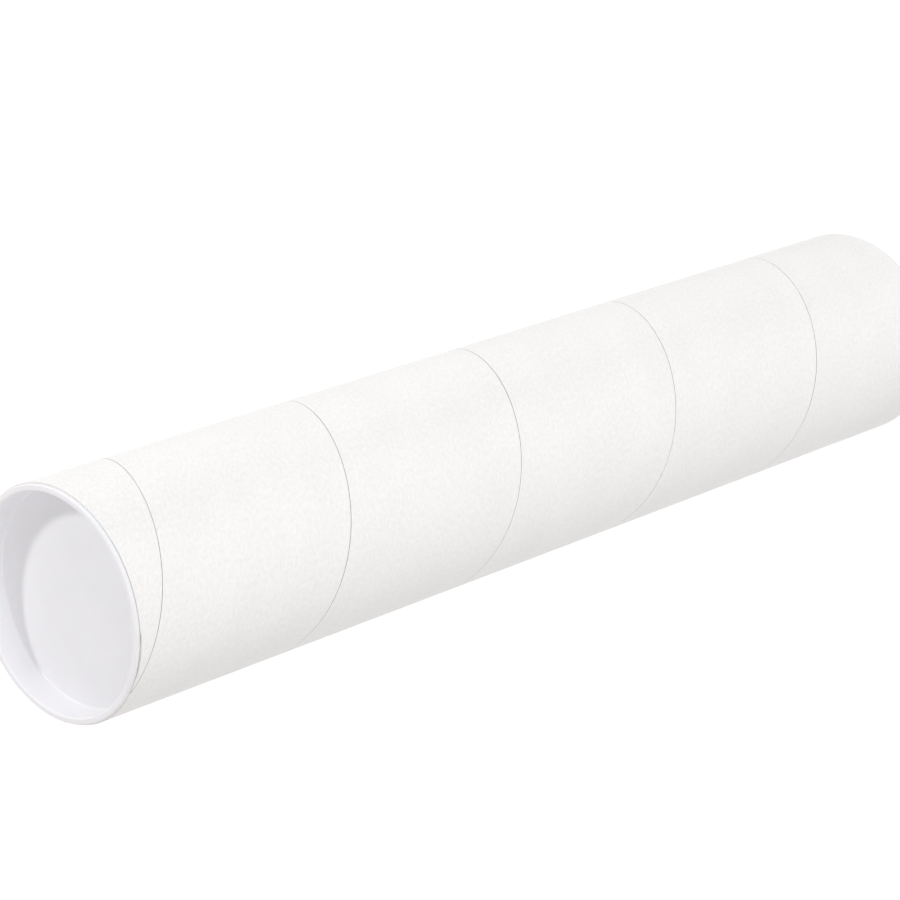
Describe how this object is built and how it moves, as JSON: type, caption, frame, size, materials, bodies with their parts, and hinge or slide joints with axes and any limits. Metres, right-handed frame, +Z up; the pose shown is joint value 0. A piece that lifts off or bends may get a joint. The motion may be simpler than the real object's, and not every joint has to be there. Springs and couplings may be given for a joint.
{
  "type": "mailing tube",
  "caption": "Round white paperboard mailing tube, spiral wound, closed at both ends by flanged push-in plastic end caps with shallow round recesses.",
  "frame": {"origin": "centre of the ring that the tube stands on, at the bottom cap's flange face", "axes": "+Z runs up the tube's axis, from the bottom cap to the top cap; X and Y are any two directions across it"},
  "size_m": [0.0792, 0.0792, 0.4094],
  "materials": {
    "white_paperboard": "matte",
    "white_plastic": "satin"
  },
  "bodies": {
    "bottom_cap": {"bottom_end_cap": "white_plastic"},
    "tube": {"tube_body": "white_paperboard"},
    "top_cap": {"top_end_cap": "white_plastic"}
  },
  "joints": [
    {"name": "bottom_cap_pull", "type": "slide", "parent": "bottom_cap", "child": "tube", "axis": [0, 0, 1], "range_m": [0, 0.03]},
    {"name": "top_cap_pull", "type": "slide", "parent": "tube", "child": "top_cap", "axis": [0, 0, 1], "range_m": [0, 0.03]}
  ]
}
